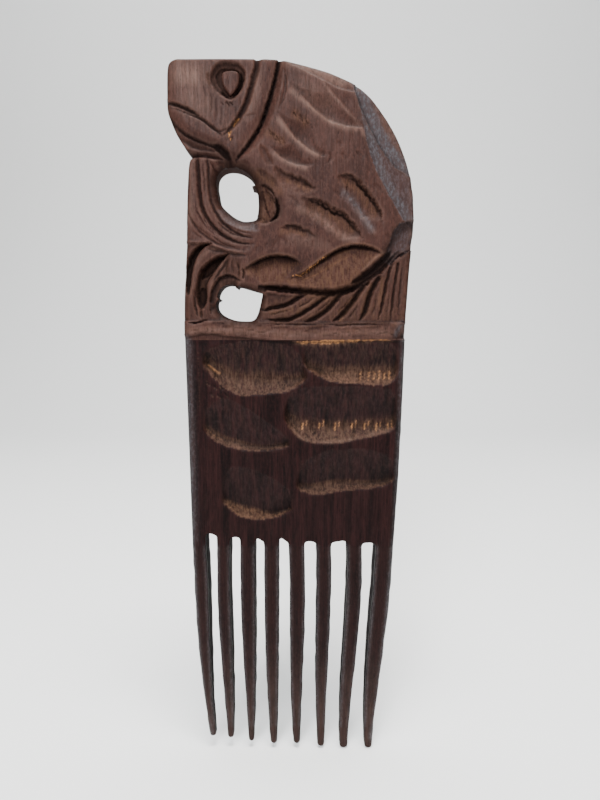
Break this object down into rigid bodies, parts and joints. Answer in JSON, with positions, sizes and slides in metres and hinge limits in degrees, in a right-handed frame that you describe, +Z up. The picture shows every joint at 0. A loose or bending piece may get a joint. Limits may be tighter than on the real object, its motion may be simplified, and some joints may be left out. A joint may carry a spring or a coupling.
{
  "type": "decorative hair comb",
  "caption": "Upright carved wooden hair comb: tapered teeth, a gouged panel, a raised ledge, and a fish in relief bending over pierced holes.",
  "frame": {"origin": "under the middle of the comb's outline, at the height of the longest teeth's tips and halfway through the board", "axes": "+Z up along the teeth towards the fish, +X across the teeth towards the fish's back, +Y out of the flat back; the carved face looks along -Y"},
  "size_m": [0.0662, 0.009, 0.2],
  "materials": {
    "crest_wood": "dark brown hardwood, knife-cut and rubbed to a low sheen, with greyish worn bevels",
    "strokes_wood": "dark brown hardwood with deep knife strokes, rougher and redder in the cuts",
    "panel_wood": "very dark brown straight-grained hardwood, with raw orange-brown fibre in the gouges",
    "tooth_wood": "very dark brown hardwood, smooth, lighter brown where the tips are worn"
  },
  "bodies": {
    "root": {"fish_head": "crest_wood", "fish_eye": "crest_wood", "gill_cover": "crest_wood", "fish_body": "crest_wood", "fish_tail": "crest_wood", "reeds": "strokes_wood", "waves": "strokes_wood", "ledge": "crest_wood", "panel": "panel_wood", "tooth_1": "tooth_wood", "tooth_2": "tooth_wood", "tooth_3": "tooth_wood", "tooth_4": "tooth_wood", "tooth_5": "tooth_wood", "tooth_6": "tooth_wood", "tooth_7": "tooth_wood", "tooth_8": "tooth_wood"}
  },
  "joints": []
}
